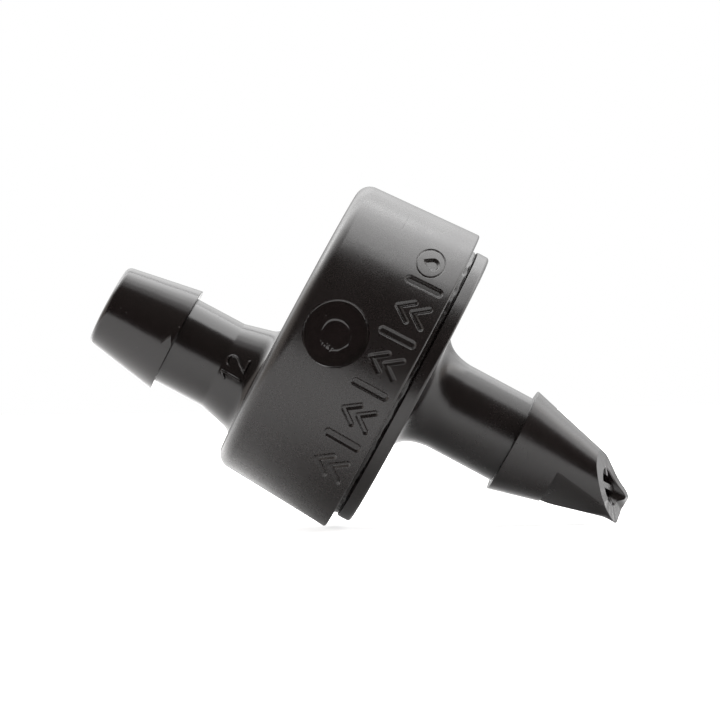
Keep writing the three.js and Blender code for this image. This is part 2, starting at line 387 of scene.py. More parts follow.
def relief(name, radius_at, across_range, height_range, rise_at, back, centre_x=0.0, wall_r=MARK_R):
    """A closed block with one face that follows a round wall, raised by rise_at(across, height). Its other
    face lies back from the wall. It is cut out of the piece, or joined to it."""
    ends = wall_r * np.arcsin(np.array(across_range) / wall_r)
    columns = round((ends[1] - ends[0]) / MARK_STEP)
    count = round((height_range[1] - height_range[0]) / MARK_STEP)
    along, height = np.meshgrid(np.linspace(*ends, columns + 1), np.linspace(*height_range, count + 1))
    turn = along / wall_r - math.pi / 2
    across = wall_r * np.sin(along / wall_r)
    layers = []
    for radius in (radius_at(height) + rise_at(across, height), radius_at(height) + back):
        layers.append(
            np.stack([centre_x + radius * np.cos(turn), radius * np.sin(turn), height], axis=-1)
        )
    face, rear = np.arange(2 * along.size).reshape(2, *along.shape).tolist()
    faces = []
    for i in range(count):
        faces += grid_faces(face[i], face[i + 1])
        faces += [quad[::-1] for quad in grid_faces(rear[i], rear[i + 1])]
    faces += grid_faces(rear[0], face[0])
    faces += grid_faces(face[-1], rear[-1])
    face_left, rear_left = [row[0] for row in face], [row[0] for row in rear]
    face_right, rear_right = [row[-1] for row in face], [row[-1] for row in rear]
    faces += grid_faces(face_left, rear_left)
    faces += grid_faces(rear_right, face_right)
    if back > 0:
        faces = [quad[::-1] for quad in faces]
    return add_mesh(name, np.concatenate(layers).reshape(-1, 3).tolist(), faces)


def prism(name, outline_points, low, high):
    """An outline of (x, y) points, anticlockwise, raised from low to high."""
    count = len(outline_points)
    points = [(x, y, low) for x, y in outline_points] + [(x, y, high) for x, y in outline_points]
    faces = [list(range(count))[::-1], list(range(count, 2 * count))]
    faces += [(i, (i + 1) % count, count + (i + 1) % count, count + i) for i in range(count)]
    return add_mesh(name, points, faces)


def radial_bar(name, inner_r, outer_r, thickness, low, high, turn):
    half = thickness / 2
    sides = [(inner_r, -half), (outer_r, -half), (outer_r, half), (inner_r, half)]
    c, s = math.cos(turn), math.sin(turn)
    return prism(name, [(x * c - y * s, x * s + y * c) for x, y in sides], low, high)


def cylinder(name, radius, low, high, sides, centre_x=0.0):
    rows = outline([(0, low, 0), (radius, low, 0), (radius, high, 0), (0, high, 0)], high - low + radius)
    return lathe(name, rows, turns(sides), centre_x)


def evaluated(piece):
    """Applies the piece's modifiers to its mesh."""
    bpy.context.view_layer.update()
    graph = bpy.context.evaluated_depsgraph_get()
    mesh = bpy.data.meshes.new_from_object(piece.evaluated_get(graph))
    old = piece.data
    piece.modifiers.clear()
    piece.data = mesh
    bpy.data.meshes.remove(old)
    return piece


def combine(piece, tool, operation):
    modifier = piece.modifiers.new("combine", "BOOLEAN")
    modifier.operation = operation
    modifier.solver = "MANIFOLD"
    modifier.object = tool
    evaluated(piece)
    bpy.data.objects.remove(tool)
    return piece


def join(piece, *tools):
    for tool in tools:
        combine(piece, tool, "UNION")
    return piece


def cut(piece, *tools):
    for tool in tools:
        combine(piece, tool, "DIFFERENCE")
    return piece


# ---------------------------------------------------------------- marks on a round wall

def stroke(across, height, start, end, half_width):
    """Distance from a straight stroke with round ends, negative inside it."""
    way = np.array(end, float) - start
    share = ((across - start[0]) * way[0] + (height - start[1]) * way[1]) / (way @ way)
    share = np.clip(share, 0, 1)
    near = np.hypot(across - start[0] - share * way[0], height - start[1] - share * way[1])
    return near - half_width


def strokes(across, height, points, half_width):
    """Distance from strokes that join the points in turn."""
    parts = [stroke(across, height, a, b, half_width) for a, b in zip(points, points[1:])]
    return np.minimum.reduce(parts)


def carved(distance, depth, wall=MARK_WALL):
    """How far the wall rises at a distance from a mark's edge: down inside it, just clear outside it."""
    share = np.clip(-distance / wall, 0, 1)
    inside = -depth * share ** 2 * (3 - 2 * share)
    outside = np.minimum(distance * MARK_STEEPNESS, MARK_CLEARANCE)
    return np.where(distance < 0, inside, outside)


def rough(x, y, z, scale):
    """Smooth noise from about -1 to 1 at each place of three equal arrays."""
    flat = zip(np.ravel(x) * scale, np.ravel(y) * scale, np.ravel(z) * scale)
    return np.array([noise.noise(Vector(place)) for place in flat]).reshape(np.shape(x))


def cup_radius(height):
    return RIM_R - (height - RIM_Z) * math.tan(CUP_DRAFT)


def flow_band(across, height):
    """Chevrons that point to the outlet, with bars between them."""
    found = []
    middle = (BAND_LOW + BAND_HIGH) / 2
    for i in range(BAND_SLOTS):
        centre = BAND_START + BAND_PITCH * i
        if i % 2:
            found.append(stroke(across, height, (centre, BAND_LOW), (centre, BAND_HIGH), BAND_BAR_STROKE))
            continue
        left, right = centre - CHEVRON_HALF_WIDTH, centre + CHEVRON_HALF_WIDTH
        for low in (BAND_LOW, middle):
            top = low + (BAND_HIGH - BAND_LOW) / 2 - BAND_STROKE / 2
            found.append(strokes(across, height, [(left, low), (centre, top), (right, low)], BAND_STROKE))
    return np.minimum.reduce(found)


def badge(across, height):
    """A ring round a water drop."""
    x = across - BADGE_X
    y = height - BADGE_HEIGHT
    ring = np.abs(np.hypot(x, y) - BADGE_R) - BADGE_STROKE
    drop = [
        np.hypot(x, y + DROP_BELOW - DROP_LENGTH * t) - DROP_R * (1 - t) ** DROP_TAPER
        for t in np.linspace(0, DROP_TIP, DROP_CIRCLES)
    ]
    return np.minimum(ring, np.minimum.reduce(drop))


def band_rise(across, height):
    return carved(np.minimum(flow_band(across, height), badge(across, height)), BAND_DEPTH)


def tick_rise(across, height):
    start, end = (TICK_START, TICK_HEIGHT), (TICK_END, TICK_HEIGHT)
    return carved(stroke(across, height, start, end, TICK_STROKE), TICK_DEPTH)


def gate_rise(across, height):
    """The round gate recess: a flat floor, with the gate's broken ring and torn bits on it."""
    x = across - GATE_X
    y = (height - GATE_HEIGHT) / GATE_SQUASH
    from_centre = np.hypot(x, y)
    heading = np.arctan2(x, y)
    wall_r = cup_radius(height)
    floor = wall_r - (cup_radius(GATE_HEIGHT) - GATE_DEPTH) / np.sqrt(1 - (x / MARK_R) ** 2)
    grain = rough(x, y, x * 0, GATE_TORN_SCALE)
    wander = rough(x, y, x * 0 + 5, GATE_WANDER_SCALE)
    ring = np.exp(-((from_centre - GATE_RING_R - GATE_RING_WANDER * wander) / GATE_RING_WIDTH) ** 2)
    kept = GATE_KEPT + GATE_KEPT_SWING * np.sin(heading + GATE_KEPT_TURN) + GATE_KEPT_WANDER * wander
    kept = np.clip(kept, GATE_KEPT_LEAST, 1)
    patch = ((x - GATE_TORN_X) / GATE_TORN_WIDTH) ** 2 + ((y - GATE_TORN_Y) / GATE_TORN_HEIGHT) ** 2
    torn = np.exp(-patch) * np.clip(grain + GATE_TORN_SHARE, 0, 1)
    bumps = GATE_RING_RISE * ring * kept + GATE_TORN_RISE * torn
    distance = from_centre - GATE_R
    shape = np.sin(np.clip(-distance / GATE_WALL, 0, 1) * math.pi / 2)
    outside = np.minimum(distance * MARK_STEEPNESS, MARK_CLEARANCE)
    return np.where(distance < 0, (bumps - floor) * shape, outside)


def flare_radius(height):
    slope = (OUTLET_FLARE_R - STEM_R) / (OUTLET_STEM_Z - OUTLET_FLARE_Z)
    return OUTLET_FLARE_R - (height - OUTLET_FLARE_Z) * slope


def cavity_number(across, height):
    """The digits 1 and 2, for the mould cavity."""
    top = NUMBER_LOW + NUMBER_TALL
    flag = (ONE_FLAG_X, NUMBER_LOW + ONE_FLAG_SHARE * NUMBER_TALL)
    one = [flag, (ONE_X, top), (ONE_X, NUMBER_LOW)]
    bow = [
        (TWO_X - TWO_BOW_R * math.cos(t), top - TWO_BOW_R + TWO_BOW_R * math.sin(t))
        for t in np.linspace(TWO_BOW_START, TWO_BOW_END, TWO_BOW_POINTS)
    ]
    two = [*bow, (TWO_FOOT_START, NUMBER_LOW), (TWO_FOOT_END, NUMBER_LOW)]
    return np.minimum(*[strokes(across, height, digit, NUMBER_STROKE) for digit in (one, two)])


def number_rise(across, height):
    return -carved(cavity_number(across - NUMBER_X, height), NUMBER_RISE, NUMBER_WALL)


def outlet_radius(height):
    return SHOULDER_R - (height - OUTLET_SHOULDER_Z) * OUTLET_SLOPE


def flash_rise(across, height):
    """A triangular scrap of flash on the barb's shoulder, flat where it was trimmed."""
    distance = np.abs(height - OUTLET_SHOULDER_Z - FLASH_MIDDLE) - FLASH_SLOPE * (FLASH_POINT_X - across)
    trimmed = SHOULDER_R * (1 / np.cos(across / SHOULDER_R + FLASH_TRIM_TURN) - 1) + FLASH_RISE
    return np.maximum(np.minimum(trimmed, -distance * MARK_STEEPNESS), -MARK_CLEARANCE)


# ---------------------------------------------------------------- the outlet cover

def cup_body():
    top_r = cup_radius(CUP_TOP_Z)
    corners = [
        (0, LAND_Z, 0),
        (CUP_BORE_LAND_R, LAND_Z, LAND_CORNER_R),
        (CUP_BORE_RIM_R, LEAD_IN_Z, EDGE_R),
        (LEAD_IN_R, RIM_Z, LEAD_IN_EDGE_R),
        (RIM_R, RIM_Z, EDGE_R),
        (top_r, CUP_TOP_Z, CUP_CORNER_R),
        (0, CUP_TOP_Z, 0),
    ]
    return lathe("outlet_cover_moulding", outline(corners, BROAD_RUN), turns(CUP_SIDES))


def outlet_barb():
    foot = (OUTLET_FOOT_R, CUP_TOP_Z)
    flare = (OUTLET_FLARE_R, OUTLET_FLARE_Z)
    bend_r = OUTLET_FLARE_R + OUTLET_BEND_SHARE * (OUTLET_FOOT_R - OUTLET_FLARE_R)
    bend = (bend_r, CUP_TOP_Z + OUTLET_BEND_RISE)
    corners = [
        (0, CUP_TOP_Z - OVERRUN, 0),
        (OUTLET_FOOT_R, CUP_TOP_Z - OVERRUN, 0),
        (*foot, 0),
        *bezier(foot, bend, flare, OUTLET_BEND_STEPS),
        (*flare, 0),
        (STEM_R, OUTLET_STEM_Z, EDGE_R),
        (STEM_R, OUTLET_SHOULDER_Z, SHOULDER_EDGE_R),
        (SHOULDER_R, OUTLET_SHOULDER_Z, SHOULDER_EDGE_R),
        (outlet_radius(OUTLET_END_Z), OUTLET_END_Z, OUTLET_EDGE_R),
        (0, OUTLET_END_Z, 0),
    ]
    return lathe("outlet_barb", outline(corners, NARROW_RUN), turns(BARB_SIDES), OUTLET_X)


def outlet_bore():
    mouth_z = OUTLET_END_Z - OUTLET_CHAMFER
    corners = [
        (0, OUTLET_BORE_FLOOR_Z, 0),
        (OUTLET_BORE_R, OUTLET_BORE_FLOOR_Z, EDGE_R),
        (OUTLET_BORE_R, mouth_z, EDGE_R),
        (OUTLET_BORE_R + OVERRUN, mouth_z + OVERRUN, 0),
        (0, mouth_z + OVERRUN, 0),
    ]
    return lathe("outlet_bore", outline(corners, BROAD_RUN), turns(BORE_SIDES), OUTLET_X)


def zigzag_groove():
    outer, inner = [], []
    for i in range(ZIGZAG_TURNS):
        angle = ZIGZAG_START + ZIGZAG_SWEEP * i / (ZIGZAG_TURNS - 1)
        middle = ZIGZAG_INNER_R if i % 2 else ZIGZAG_OUTER_R
        way = np.array([math.cos(angle), math.sin(angle)])
        outer.append(way * (middle + GROOVE_HALF_WIDTH))
        inner.insert(0, way * (middle - GROOVE_HALF_WIDTH))
    return prism("groove", [tuple(p) for p in outer + inner], LAND_Z - OVERRUN, LAND_Z + GROOVE_DEPTH)


def labyrinth():
    low, high = LAND_Z - OVERRUN - NUDGE, LAND_Z + GROOVE_DEPTH
    end = ZIGZAG_START + ZIGZAG_SWEEP
    intake = radial_bar("intake", ZIGZAG_OUTER_R, INTAKE_SLOT_R, SLOT_WIDTH, low, high, ZIGZAG_START)
    to_pocket = radial_bar("to_pocket", POCKET_R - OVERRUN, ZIGZAG_OUTER_R, SLOT_WIDTH, low, high, end)
    return join(zigzag_groove(), intake, to_pocket)


def regulating_pocket():
    floor = LAND_Z + POCKET_DEPTH
    seat_z = LAND_Z + SEAT_BELOW_LAND
    pocket = cylinder("pocket", POCKET_R, LAND_Z - OVERRUN, floor, BORE_SIDES)
    seat = cylinder("seat", SEAT_R, seat_z, floor + OVERRUN, BORE_SIDES, PORT_X)
    half = NOTCH_WIDTH / 2
    right = PORT_X + SEAT_R + OVERRUN
    notch = prism(
        "notch",
        [(PORT_X, -half), (right, -half), (right, half), (PORT_X, half)],
        seat_z - OVERRUN,
        seat_z + NOTCH_DEPTH,
    )
    return cut(pocket, cut(seat, notch))


def outlet_cover():
    cover = join(cup_body(), outlet_barb())
    number = relief("number", flare_radius, *NUMBER_STRETCH, number_rise, -OVERRUN, OUTLET_X, STEM_R)
    flash = relief("flash", outlet_radius, *FLASH_STRETCH, flash_rise, -OVERRUN, OUTLET_X, SHOULDER_R)
    port = cylinder("port", PORT_R, LAND_Z - OVERRUN, OUTLET_BORE_FLOOR_Z + OVERRUN, BORE_SIDES, PORT_X)
    cut(join(cover, number, flash), outlet_bore(), regulating_pocket(), port, labyrinth())
    band = relief("band", cup_radius, *BAND_STRETCH, band_rise, OVERRUN)
    gate = relief("gate", cup_radius, *GATE_STRETCH, gate_rise, OVERRUN)
    tick = relief("tick", cup_radius, *TICK_STRETCH, tick_rise, OVERRUN)
    return cut(cover, band, gate, tick)


# ---------------------------------------------------------------- the inlet base

def tip_cut_height(radius, turn):
    """Height of the slanted cut at a radius and a turn about the axis, or the nose's blunt end."""
    slanted = TIP_CUT_AXIS_Z + radius * np.cos(turn - TIP_CUT_HEADING) * math.tan(TIP_CUT_TILT)
    tab = TAB_LENGTH * np.exp(-((turn - TAB_TURN) / TAB_SPREAD) ** 2)
    torn = TIP_ROUGHNESS * rough(np.cos(turn), np.sin(turn), turn * 0, TIP_ROUGH_SCALE)
    return np.maximum(slanted - tab + torn, NOSE_END_Z + TIP_CLEARANCE + torn / 2)


def smooth_min(a, b, blend):
    share = np.clip(0.5 + (b - a) / (2 * blend), 0, 1)
    return b + (a - b) * share - blend * share * (1 - share)


def cone_radius(height):
    return np.maximum(SHOULDER_R - (INLET_SHOULDER_Z - height) * INLET_SLOPE, NOSE_R)


def faceted_radius(height, turn):
    """The cone below the step, where two flat facets meet in a keel along -X."""
    share = (height - CONE_END_Z) / (FACET_START_Z - CONE_END_Z)
    flat = NOSE_R + (FACET_START_R - NOSE_R) * share
    radius = cone_radius(height)
    for side in (1, -1):
        aside = turn - math.pi - side * FACET_HEADING
        facing = np.maximum(np.cos(aside), LEAST_FACING)
        middle = np.clip(1 - (np.tan(aside) / math.tan(FACET_HEADING)) ** 2, 0, 1)
        crowned = flat + FACET_CROWN * np.clip(share, 0, 1) * middle
        radius = smooth_min(radius, crowned / facing, FACET_BLEND)
    return radius


def bore_radius(turn):
    """Distance from the barb's axis to the inlet bore, which stands nearer to +X, at a turn."""
    across = INLET_BORE_X * np.sin(turn)
    return INLET_BORE_X * np.cos(turn) + np.sqrt(INLET_BORE_R ** 2 - across ** 2)


def skirt_radius(height):
    share = (height - LEAD_IN_Z) / (LAND_Z - LEAD_IN_Z)
    return CUP_BORE_RIM_R + (CUP_BORE_LAND_R - CUP_BORE_RIM_R) * share - SKIRT_GAP


def bead(turn):
    """How far the weld bead's edge wanders at a turn, and how far it stands up or down."""
    coarse = rough(np.cos(turn), np.sin(turn), turn * 0, BEAD_COARSE_SCALE)
    fine = rough(np.cos(turn), np.sin(turn), turn * 0 + 3, BEAD_FINE_SCALE)
    return BEAD_COARSE * coarse + BEAD_FINE * fine, BEAD_LIFT * fine


def tip_corners(turn):
    """Corners from the bore's edge round the cut and up the faceted cone, one value per column."""
    bore_r = bore_radius(turn)
    outer_r = np.full_like(turn, NOSE_R)
    for _ in range(TIP_PASSES):
        outer_r = faceted_radius(tip_cut_height(outer_r, turn), turn)
    tip_low = tip_cut_height(outer_r, turn)
    corners = [(bore_r, tip_cut_height(bore_r, turn), TIP_BORE_EDGE_R), (outer_r, tip_low, TIP_EDGE_R)]
    for t in np.linspace(0, 1, CONE_STEPS + 1)[1:]:
        height = tip_low + (FACET_START_Z - FACET_STEP - tip_low) * t
        corners.append((faceted_radius(height, turn), height, 0))
    return corners


def base_outline(turn):
    foot = (INLET_FOOT_R, 0)
    stem = (STEM_R, INLET_STEM_Z)
    bend = (STEM_R + INLET_BEND_OUT, INLET_STEM_Z * INLET_BEND_SHARE)
    wander, lift = bead(turn)
    corners = [
        *tip_corners(turn),
        (cone_radius(FACET_START_Z), np.full_like(turn, FACET_START_Z), 0),
        (SHOULDER_R, INLET_SHOULDER_Z, SHOULDER_EDGE_R),
        (STEM_R, INLET_SHOULDER_Z, SHOULDER_EDGE_R),
        (*stem, 0),
        *bezier(stem, bend, foot, INLET_BEND_STEPS),
        (*foot, 0),
        (FLANGE_R, 0, FLANGE_EDGE_R),
        (FLANGE_R, FLANGE_TOP_Z, EDGE_R),
        (SEAM_R, SEAM_Z, 0),
        (BEAD_LOW_R + wander, BEAD_LOW_Z + lift, BEAD_EDGE_R),
        (BEAD_HIGH_R + wander, BEAD_HIGH_Z, BEAD_EDGE_R),
        (skirt_radius(LEAD_IN_Z), LEAD_IN_Z, 0),
        (skirt_radius(SKIRT_TOP_Z), SKIRT_TOP_Z, EDGE_R),
        (SKIRT_INNER_R, SKIRT_TOP_Z, EDGE_R),
        (SKIRT_INNER_R, FLOOR_Z, FLOOR_CORNER_R),
        (bore_radius(turn), FLOOR_Z, INLET_BORE_MOUTH_R),
    ]
    return outline(corners, BROAD_RUN, closed=True)


def inlet_strainer(base):
    """The bar across the bore and a stub on each side of it, all ending just inside the slanted cut."""
    reach = INLET_BORE_R + (NOSE_R - INLET_BORE_R - INLET_BORE_X) / 2
    low = NOSE_END_Z
    parts = [radial_bar("bar", -reach, reach, CROSS_BAR_THICKNESS, low, CROSS_BAR_TOP_Z, math.pi / 2)]
    for turn in (0, math.pi):
        parts.append(radial_bar("stub", STUB_INNER_R, reach, STUB_THICKNESS, low, STUB_TOP_Z, turn))
    size = 4 * SHOULDER_R
    corners = [(-size, -size), (size, -size), (size, size), (-size, size)]
    lean = Matrix.Rotation(TIP_CUT_HEADING, 4, "Z") @ Matrix.Rotation(-TIP_CUT_TILT, 4, "Y")
    for part in parts:
        part.data.transform(Matrix.Translation((INLET_BORE_X, 0, 0)))
        past_cut = prism("past_cut", corners, -2 * size, 0)
        past_cut.data.transform(Matrix.Translation((0, 0, TIP_CUT_AXIS_Z + STRAINER_INSIDE_CUT)) @ lean)
        cut(part, past_cut)
    return join(base, *parts)


def inlet_base():
    turn = turns(CUP_SIDES)
    base = lathe("inlet_base_moulding", base_outline(turn), turn, closed=True)
    for angle in turns(RIB_COUNT):
        low = FLOOR_Z - OVERRUN
        join(base, radial_bar("rib", RIB_INNER_R, RIB_OUTER_R, RIB_THICKNESS, low, RIB_TOP_Z, angle))
    return inlet_strainer(base)


def diaphragm():
    corners = [
        (0, DIAPHRAGM_BOTTOM_Z, 0),
        (DIAPHRAGM_R, DIAPHRAGM_BOTTOM_Z, DIAPHRAGM_EDGE_R),
        (DIAPHRAGM_R, DIAPHRAGM_TOP_Z, DIAPHRAGM_EDGE_R),
        (0, DIAPHRAGM_TOP_Z, 0),
    ]
    return lathe("diaphragm_disc", outline(corners, NARROW_RUN), turns(DISC_SIDES))


# ---------------------------------------------------------------- materials

PLASTIC_IOR = 1.5

# Each pair is the ends of a roughness that varies over the surface, mostly with the clouds.
WALL_ROUGHNESS = (0.24, 0.34)
BASE_ROUGHNESS = (0.2, 0.3)
BARB_ROUGHNESS = 0.19
FACE_ROUGHNESS = 0.6
GATE_ROUGHNESS = 0.14
SILICONE_ROUGHNESS = (0.5, 0.7)
GRAIN_SHARE = 0.25

# Where the closed face's and the barb's roughness take over: from and to, as the normal's Z and as height
FACE_LEVEL = (0.85, 0.98)
BARB_START = ((CUP_TOP_Z + 0.03) * MM, (CUP_TOP_Z + 0.33) * MM)
GATE_EDGE = ((GATE_R - 0.08) * MM, (GATE_R - 0.02) * MM)

# The black is faintly brown, which only its dark areas show: shares of the record's red, green and blue
BLACK_WARMTH = (1.32, 0.94, 0.9)
BLACK_SHADES = (0.55, 0.95)
SILICONE_SHADES = (0.9, 1.08)
SILICONE_SCATTER = 0.1
SILICONE_SCATTER_RADIUS = (0.0006, 0.0005, 0.0004)
DUST_COLOUR = (0.06, 0.058, 0.055, 1)

# Values of a noise between which it is used: all but its ends, the rubbed look's, and where dust lies
MOST = (0.2, 0.8)
RUBBED = (0.25, 0.8)
DUSTY = (0.78, 0.84)

# Noise scales, in waves per metre
CLOUDS = 420
GRAIN = 9500
MOTTLE = 2600
WAVES = 700
DRAW_MARKS = 5200
SPECKS = 5200
SILICONE_CLOUDS = 600
SILICONE_GRAIN = 7000

# How far each kind of unevenness stands up, in metres
WAVES_RISE = 0.000012
MOTTLE_RISE = 0.0000009
DRAW_MARKS_RISE = 0.0000003
GRAIN_RISE = 0.0000002
SILICONE_RISE = 0.000004


class Nodes:
    """A short way to add nodes and links to a node tree."""

    def __init__(self, tree):
        self.tree = tree
        tree.nodes.clear()

    def set(self, socket, value):
        if isinstance(value, bpy.types.NodeSocket):
            self.tree.links.new(value, socket)
        else:
            socket.default_value = value

    def add(self, kind, inputs=None, **settings):
        node = self.tree.nodes.new(kind)
        for key, value in settings.items():
            setattr(node, key, value)
        for key, value in (inputs or {}).items():
            self.set(node.inputs[key], value)
        return node


def noise_node(nodes, place, scale, detail=3.0, roughness=0.55, distortion=0.0):
    made = nodes.add("ShaderNodeTexNoise", {
        "Vector": place, "Scale": scale, "Detail": detail, "Roughness": roughness, "Distortion": distortion,
    })
    return made.outputs["Factor"] if "Factor" in made.outputs else made.outputs["Fac"]


def ramp(nodes, value, low, high, to_low, to_high, way="SMOOTHSTEP"):
    made = nodes.add("ShaderNodeMapRange", {
        "Value": value, "From Min": low, "From Max": high, "To Min": to_low, "To Max": to_high,
    }, interpolation_type=way)
    return made.outputs["Result"]


def mix_colour(nodes, share, low, high):
    """A colour between low and high. Either may be a socket or (red, green, blue, 1)."""
    made = nodes.add("ShaderNodeMix", {"Factor": share}, data_type="RGBA")
    ends = [socket for socket in made.inputs if socket.type == "RGBA"]
    for socket, value in zip(ends, (low, high)):
        nodes.set(socket, value)
    return [socket for socket in made.outputs if socket.type == "RGBA"][0]


def mix_value(nodes, share, low, high):
    return nodes.add("ShaderNodeMix", {"Factor": share, "A": low, "B": high}).outputs["Result"]


def calculated(nodes, operation, *values):
    return nodes.add("ShaderNodeMath", dict(enumerate(values)), operation=operation).outputs[0]


def shade(colour, factor):
    return (*[channel * factor for channel in colour], 1)


def stretched(nodes, place, x, y, z):
    return nodes.add("ShaderNodeVectorMath", {0: place, 1: (x, y, z)}, operation="MULTIPLY").outputs[0]


def bumped(nodes, height, distance, normal=None):
    inputs = {"Height": height, "Strength": 1.0, "Distance": distance}
    if normal:
        inputs["Normal"] = normal
    return nodes.add("ShaderNodeBump", inputs).outputs["Normal"]


def along_z(nodes, vector):
    return nodes.add("ShaderNodeSeparateXYZ", {0: vector}).outputs["Z"]


def cover_roughness(nodes, place, wall):
    """The mould leaves the outlet barb and the gate recess glossier than the cup's wall, and the cup's
    closed face more matt."""
    height = along_z(nodes, place)
    facing = along_z(nodes, nodes.add("ShaderNodeTexCoord").outputs["Normal"])
    level = ramp(nodes, facing, *FACE_LEVEL, 0, 1)
    on_barb = ramp(nodes, height, *BARB_START, 0, 1)
    gate = (GATE_X * MM, -MARK_R * MM, GATE_HEIGHT * MM)
    offset = nodes.add("ShaderNodeVectorMath", {0: place, 1: gate}, operation="DISTANCE").outputs["Value"]
    in_recess = ramp(nodes, offset, *GATE_EDGE, 1, 0)
    cup = mix_value(nodes, level, wall, FACE_ROUGHNESS)
    return mix_value(nodes, in_recess, mix_value(nodes, on_barb, cup, BARB_ROUGHNESS), GATE_ROUGHNESS)


def new_material(name):
    """A material, its nodes, and the place on the object that its textures use."""
    material = bpy.data.materials.new(name)
    material.use_nodes = True
    nodes = Nodes(material.node_tree)
    return material, nodes, nodes.add("ShaderNodeTexCoord").outputs["Object"]


def moulded_plastic(name, colour, ends, adjusted=None):
    """Black moulded plastic. ends are the ends of its roughness, which adjusted may change."""
    material, nodes, place = new_material(name)
    clouds = noise_node(nodes, place, CLOUDS, detail=4)
    grain = noise_node(nodes, place, GRAIN, detail=2, roughness=0.6)
    mottle = noise_node(nodes, place, MOTTLE, detail=2)
    waves = noise_node(nodes, place, WAVES, detail=1, roughness=0.5, distortion=0.4)
    drawn = noise_node(nodes, stretched(nodes, place, 0.1, 0.1, 1), DRAW_MARKS)
    dust = ramp(nodes, noise_node(nodes, place, SPECKS, detail=1), *DUSTY, 0, 1)
    black = [channel * share for channel, share in zip(colour, BLACK_WARMTH)]
    tint = mix_colour(nodes, clouds, *[shade(black, share) for share in BLACK_SHADES])
    dusted = mix_colour(nodes, dust, tint, DUST_COLOUR)
    grained = ramp(nodes, grain, *MOST, 0, GRAIN_SHARE)
    rubbed = calculated(nodes, "MULTIPLY_ADD", clouds, 1 - GRAIN_SHARE, grained)
    roughness = ramp(nodes, rubbed, *RUBBED, *ends)
    if adjusted:
        roughness = adjusted(nodes, place, roughness)
    normal = bumped(nodes, waves, WAVES_RISE)
    normal = bumped(nodes, mottle, MOTTLE_RISE, normal)
    normal = bumped(nodes, drawn, DRAW_MARKS_RISE, normal)
    normal = bumped(nodes, grain, GRAIN_RISE, normal)
    shader = nodes.add("ShaderNodeBsdfPrincipled", {
        "Base Color": dusted, "Roughness": roughness, "Normal": normal, "IOR": PLASTIC_IOR,
    })
    nodes.add("ShaderNodeOutputMaterial", {"Surface": shader.outputs[0]})
    return material


def silicone(name, colour):
    material, nodes, place = new_material(name)
    clouds = noise_node(nodes, place, SILICONE_CLOUDS)
    grain = noise_node(nodes, place, SILICONE_GRAIN, detail=2)
    shader = nodes.add("ShaderNodeBsdfPrincipled", {
        "Base Color": mix_colour(nodes, clouds, *[shade(colour, share) for share in SILICONE_SHADES]),
        "Roughness": ramp(nodes, clouds, *MOST, *SILICONE_ROUGHNESS),
        "Normal": bumped(nodes, grain, SILICONE_RISE),
        "Subsurface Weight": SILICONE_SCATTER,
        "Subsurface Radius": SILICONE_SCATTER_RADIUS,
        "Subsurface Scale": 1.0,
    })
    nodes.add("ShaderNodeOutputMaterial", {"Surface": shader.outputs[0]})
    return material


# ---------------------------------------------------------------- finishing a piece

SHARP_ANGLE = math.radians(34)


def finish_piece(piece, material, body, node):
    """Shades the piece, scales it to metres, and ties it to the frame."""
    mesh = piece.data
    mesh.shade_smooth()
    mesh.set_sharp_from_angle(angle=SHARP_ANGLE)
    weighted = piece.modifiers.new("weighted", "WEIGHTED_NORMAL")
    weighted.keep_sharp = True
    weighted.weight = 50
    evaluated(piece)
    piece.data.transform(Matrix.Scale(MM, 4))
    piece.data.materials.clear()
    piece.data.materials.append(material)
    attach(piece, body)
    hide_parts(node)
    return piece


# ---------------------------------------------------------------- build

COLOURS = {row["slot"]: row["base_color"] for row in frame["record"]["materials"]}
cover = finish_piece(
    outlet_cover(),
    moulded_plastic("black_satin_plastic", COLOURS["cover_plastic"], WALL_ROUGHNESS, cover_roughness),
    "housing", "outlet_cover",
)
base = finish_piece(
    inlet_base(),
    moulded_plastic("black_gloss_plastic", COLOURS["base_plastic"], BASE_ROUGHNESS),
    "housing", "inlet_base",
)
disc = finish_piece(
    diaphragm(), silicone("silicone", COLOURS["silicone"]), "diaphragm", "diaphragm"
)

# ---------------------------------------------------------------- stage, light and camera

CAMERA_PLACE = Vector((-0.06, -160, 4.3)) * MM
CAMERA_AIM = Vector((-0.06, 0, 3.23)) * MM
VIEW_WIDTH = 35.0 * MM
CLIP_START = 0.005
CLIP_END = 10
VIEW_UP = Vector((0.882, 0, 0.471))
VIEW_AWAY = Vector((0, 1, 0))

# The emitter lies on a table, on its rim and its tip. TABLE_UP is the table's normal. The table has a
# painted glow that grows from near to far with the distance from the part, a painted shade near it, and the
# camera alone sees an extra painted glow that hides the part's shadow.
TABLE_UP = Vector((0.8756, 0, 0.483)).normalized()
TABLE_SIZE = 0.6
TABLE_FRONT = 0.09
TABLE_COLOUR = (0.86, 0.86, 0.86, 1)
TABLE_PAINTED_GLOW = (0.15, 0.9)
TABLE_PAINTED_GLOW_REACH = (0.02, 0.1)
TABLE_CAMERA_PAINTED_GLOW = 0.6
TABLE_GAP = 0.00001

# Glow of the surroundings, by heading. Each pair is from and to. A heading's up, away and beside say how
# far it points up in the view, away from the camera, or to either side, as a share of the whole way.
WHITE = (1, 1, 1, 1)
FRONT_GLOW = (0.07, 0.17)
FRONT_UP = (0, 0.8)
FRONT_COLOUR = (1, 0.92, 0.85, 1)
BEHIND_AWAY = (0, 0.45)
SWEEP_GLOW = (0.8, 3.6)
SWEEP_UP = (0.2, 0.7)
TOP_GLOW = 0.4
TOP_UP = (0.68, 0.8)
SIDE_GLOW = 1.2
SIDE_BESIDE = (0.62, 0.88)
SIDE_SHIFT = 0.15
SIDE_AWAY = 0.35

